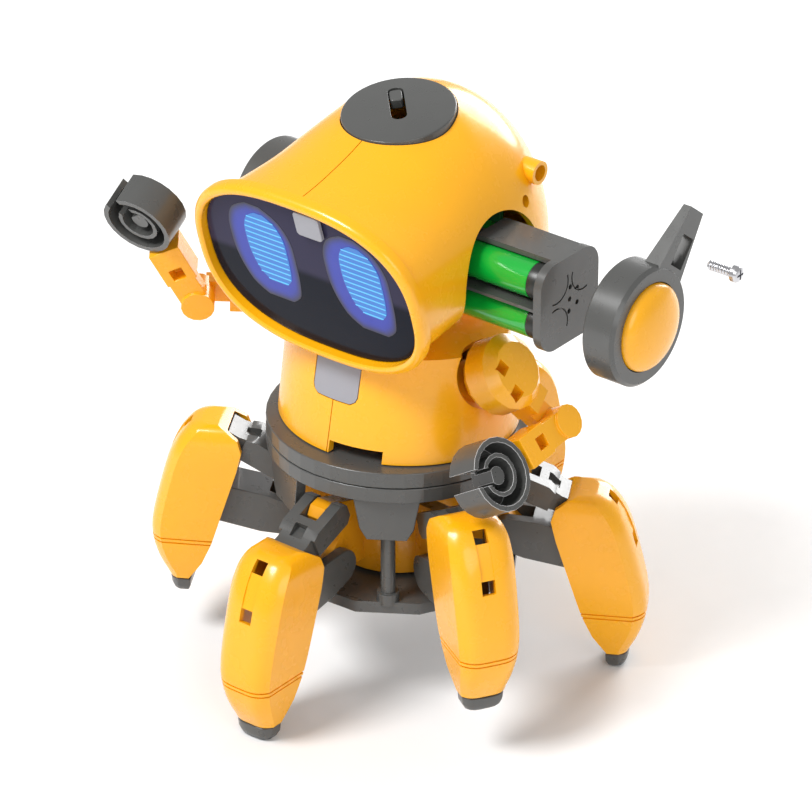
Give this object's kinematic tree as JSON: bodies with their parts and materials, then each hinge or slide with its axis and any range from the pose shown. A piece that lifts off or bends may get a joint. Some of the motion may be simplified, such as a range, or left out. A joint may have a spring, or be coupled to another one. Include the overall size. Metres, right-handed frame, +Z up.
{
  "type": "hexapod walking robot toy kit",
  "caption": "Spider-style walking robot on jointed legs, with a turning body, posable claw arms, a big visor face and a battery box that slides out behind its ear cover.",
  "frame": {"origin": "on the floor under the middle of the bounding box of the pose shown, with the ear cover, its screw and the battery box drawn out to the right", "axes": "+Z up, -Y the way the face looks, +X the side the battery box is drawn out of"},
  "size_m": [0.1784, 0.1428, 0.1722],
  "materials": {
    "yellow": "glossy moulded ABS, bright yellow",
    "amber": "moulded ABS, deeper amber, inside the drive",
    "charcoal": "semi-gloss dark grey ABS",
    "grey": "satin mid grey plastic",
    "visor": "polished near-black tinted acrylic",
    "lens": "blue light guide",
    "cell": "green foil sleeve on the cells",
    "steel": "nickel-plated steel",
    "board": "solder-masked fibreglass board"
  },
  "bodies": {
    "chassis": {"chassis_ring": "charcoal", "base_plate": "charcoal", "gearbox_housing": "amber", "motor": "steel"},
    "lift_cam": {"lift_cam": "grey"},
    "leg1_upper": {"leg1_upper_link": "charcoal"},
    "leg1_lower": {"leg1_lower_link": "charcoal"},
    "leg1_foot": {"leg1_shell": "yellow", "leg1_foot_tip": "charcoal"},
    "leg2_upper": {"leg2_upper_link": "charcoal"},
    "leg2_lower": {"leg2_lower_link": "charcoal"},
    "leg2_foot": {"leg2_shell": "yellow", "leg2_foot_tip": "charcoal"},
    "leg3_upper": {"leg3_upper_link": "charcoal"},
    "leg3_lower": {"leg3_lower_link": "charcoal"},
    "leg3_foot": {"leg3_shell": "yellow", "leg3_foot_tip": "charcoal"},
    "leg4_upper": {"leg4_upper_link": "charcoal"},
    "leg4_lower": {"leg4_lower_link": "charcoal"},
    "leg4_foot": {"leg4_shell": "yellow", "leg4_foot_tip": "charcoal"},
    "leg5_upper": {"leg5_upper_link": "charcoal"},
    "leg5_lower": {"leg5_lower_link": "charcoal"},
    "leg5_foot": {"leg5_shell": "yellow", "leg5_foot_tip": "charcoal"},
    "leg6_upper": {"leg6_upper_link": "charcoal"},
    "leg6_lower": {"leg6_lower_link": "charcoal"},
    "leg6_foot": {"leg6_shell": "yellow", "leg6_foot_tip": "charcoal"},
    "upper_body": {"waist_turntable": "charcoal", "torso_left": "yellow", "torso_right": "yellow", "chest_tab": "grey", "head_left": "yellow", "head_right": "yellow", "face_bezel": "yellow", "face_visor": "visor", "eye_lens_left": "lens", "eye_lens_right": "lens", "sensor_tab": "grey", "top_cap": "charcoal", "circuit_board": "board", "ear_ring_left": "charcoal", "ear_dome_left": "yellow"},
    "power_switch": {"power_switch": "charcoal"},
    "battery_pack": {"battery_box": "charcoal", "battery_cell_1": "cell", "battery_cell_2": "cell", "battery_cell_3": "cell", "battery_cell_4": "cell"},
    "right_ear": {"ear_ring_right": "charcoal", "ear_dome_right": "yellow"},
    "ear_screw": {"ear_screw": "steel"},
    "right_arm": {"right_upper_arm": "yellow"},
    "right_hand": {"right_forearm": "yellow", "right_claw": "charcoal"},
    "left_arm": {"left_upper_arm": "yellow"},
    "left_hand": {"left_forearm": "yellow", "left_claw": "charcoal"}
  },
  "joints": [
    {"name": "leg1_lift", "type": "hinge", "parent": "chassis", "child": "leg1_upper", "pos_m": [-0.04391, -0.01657, 0.058], "axis": [-0.5, 0.866, 0], "range_deg": [-50.8, 0]},
    {"name": "leg1_knee", "type": "hinge", "parent": "leg1_upper", "child": "leg1_foot", "pos_m": [-0.05681, -0.02402, 0.06619], "axis": [-0.5, 0.866, 0], "range_deg": [0, 50.8]},
    {"name": "leg1_brace", "type": "hinge", "parent": "chassis", "child": "leg1_lower", "pos_m": [-0.04218, -0.01557, 0.0415], "axis": [-0.5, 0.866, 0], "range_deg": [-22.01, 0]},
    {"name": "leg2_lift", "type": "hinge", "parent": "chassis", "child": "leg2_upper", "pos_m": [-0.01447, -0.03357, 0.058], "axis": [-1, 0, 0], "range_deg": [0, 50.8]},
    {"name": "leg2_knee", "type": "hinge", "parent": "leg2_upper", "child": "leg2_foot", "pos_m": [-0.01447, -0.04933, 0.05163], "axis": [-1, 0, 0], "range_deg": [-50.8, 0]},
    {"name": "leg2_brace", "type": "hinge", "parent": "chassis", "child": "leg2_lower", "pos_m": [-0.01447, -0.03157, 0.0415], "axis": [-1, 0, 0], "range_deg": [0, 22.01]},
    {"name": "leg3_lift", "type": "hinge", "parent": "chassis", "child": "leg3_upper", "pos_m": [0.01498, -0.01657, 0.058], "axis": [-0.5, -0.866, 0], "range_deg": [-50.8, 0]},
    {"name": "leg3_knee", "type": "hinge", "parent": "leg3_upper", "child": "leg3_foot", "pos_m": [0.02788, -0.02402, 0.06619], "axis": [-0.5, -0.866, 0], "range_deg": [0, 50.8]},
    {"name": "leg3_brace", "type": "hinge", "parent": "chassis", "child": "leg3_lower", "pos_m": [0.01324, -0.01557, 0.0415], "axis": [-0.5, -0.866, 0], "range_deg": [-22.01, 0]},
    {"name": "leg4_lift", "type": "hinge", "parent": "chassis", "child": "leg4_upper", "pos_m": [0.01498, 0.01743, 0.058], "axis": [0.5, -0.866, 0], "range_deg": [0, 50.8]},
    {"name": "leg4_knee", "type": "hinge", "parent": "leg4_upper", "child": "leg4_foot", "pos_m": [0.02863, 0.02531, 0.05163], "axis": [0.5, -0.866, 0], "range_deg": [-50.8, 0]},
    {"name": "leg4_brace", "type": "hinge", "parent": "chassis", "child": "leg4_lower", "pos_m": [0.01324, 0.01643, 0.0415], "axis": [0.5, -0.866, 0], "range_deg": [0, 22.01]},
    {"name": "leg5_lift", "type": "hinge", "parent": "chassis", "child": "leg5_upper", "pos_m": [-0.01447, 0.03443, 0.058], "axis": [1, 0, 0], "range_deg": [-50.8, 0]},
    {"name": "leg5_knee", "type": "hinge", "parent": "leg5_upper", "child": "leg5_foot", "pos_m": [-0.01447, 0.04933, 0.06619], "axis": [1, 0, 0], "range_deg": [0, 50.8]},
    {"name": "leg5_brace", "type": "hinge", "parent": "chassis", "child": "leg5_lower", "pos_m": [-0.01447, 0.03243, 0.0415], "axis": [1, 0, 0], "range_deg": [-22.01, 0]},
    {"name": "leg6_lift", "type": "hinge", "parent": "chassis", "child": "leg6_upper", "pos_m": [-0.04391, 0.01743, 0.058], "axis": [0.5, 0.866, 0], "range_deg": [0, 50.8]},
    {"name": "leg6_knee", "type": "hinge", "parent": "leg6_upper", "child": "leg6_foot", "pos_m": [-0.05756, 0.02531, 0.05163], "axis": [0.5, 0.866, 0], "range_deg": [-50.8, 0]},
    {"name": "leg6_brace", "type": "hinge", "parent": "chassis", "child": "leg6_lower", "pos_m": [-0.04218, 0.01643, 0.0415], "axis": [0.5, 0.866, 0], "range_deg": [0, 22.01]},
    {"name": "cam_turn", "type": "hinge", "parent": "chassis", "child": "lift_cam", "pos_m": [-0.01447, 0.00043, 0.06], "axis": [0, 0, 1], "range_deg": [0, 60]},
    {"name": "body_turn", "type": "hinge", "parent": "chassis", "child": "upper_body", "pos_m": [-0.01447, 0.00043, 0.0714], "axis": [0, 0, 1], "continuous": true},
    {"name": "switch_slide", "type": "slide", "parent": "upper_body", "child": "power_switch", "axis": [0.682, -0.7191, -0.1333], "range_m": [0, 0.0092]},
    {"name": "battery_slide", "type": "slide", "parent": "upper_body", "child": "battery_pack", "axis": [-1, 0, 0], "range_m": [0, 0.0215]},
    {"name": "ear_slide", "type": "slide", "parent": "upper_body", "child": "right_ear", "axis": [-1, 0, 0], "range_m": [0, 0.0376]},
    {"name": "screw_slide", "type": "slide", "parent": "upper_body", "child": "ear_screw", "axis": [-1, 0, 0], "range_m": [0, 0.0587]},
    {"name": "right_shoulder", "type": "hinge", "parent": "upper_body", "child": "right_arm", "pos_m": [0.02413, -0.00257, 0.1016], "axis": [-0.848, 0, -0.53], "range_deg": [0, 45]},
    {"name": "right_elbow", "type": "hinge", "parent": "right_arm", "child": "right_hand", "pos_m": [0.03493, 0.00833, 0.0848], "axis": [-0.848, 0, -0.53], "range_deg": [0, 14]},
    {"name": "left_shoulder", "type": "hinge", "parent": "upper_body", "child": "left_arm", "pos_m": [-0.05307, -0.00257, 0.1016], "axis": [-0.848, 0, 0.53], "range_deg": [-40, 22]},
    {"name": "left_elbow", "type": "hinge", "parent": "left_arm", "child": "left_hand", "pos_m": [-0.07117, -0.01917, 0.1021], "axis": [0.6009, -0.7712, -0.2103], "range_deg": [-9, 60]}
  ],
  "couplings": [
    {"joint": "leg1_lift", "follows": "leg2_lift", "ratio": -1},
    {"joint": "leg1_knee", "follows": "leg2_lift", "ratio": 1},
    {"joint": "leg1_brace", "follows": "leg2_lift", "ratio": -0.43307},
    {"joint": "leg2_knee", "follows": "leg2_lift", "ratio": -1},
    {"joint": "leg2_brace", "follows": "leg2_lift", "ratio": 0.43307},
    {"joint": "leg3_lift", "follows": "leg2_lift", "ratio": -1},
    {"joint": "leg3_knee", "follows": "leg2_lift", "ratio": 1},
    {"joint": "leg3_brace", "follows": "leg2_lift", "ratio": -0.43307},
    {"joint": "leg4_lift", "follows": "leg2_lift", "ratio": 1},
    {"joint": "leg4_knee", "follows": "leg2_lift", "ratio": -1},
    {"joint": "leg4_brace", "follows": "leg2_lift", "ratio": 0.43307},
    {"joint": "leg5_lift", "follows": "leg2_lift", "ratio": -1},
    {"joint": "leg5_knee", "follows": "leg2_lift", "ratio": 1},
    {"joint": "leg5_brace", "follows": "leg2_lift", "ratio": -0.43307},
    {"joint": "leg6_lift", "follows": "leg2_lift", "ratio": 1},
    {"joint": "leg6_knee", "follows": "leg2_lift", "ratio": -1},
    {"joint": "leg6_brace", "follows": "leg2_lift", "ratio": 0.43307},
    {"joint": "cam_turn", "follows": "leg2_lift", "ratio": 1.1811},
    {"joint": "ear_slide", "follows": "battery_slide", "ratio": 1.744},
    {"joint": "screw_slide", "follows": "battery_slide", "ratio": 2.7256}
  ]
}
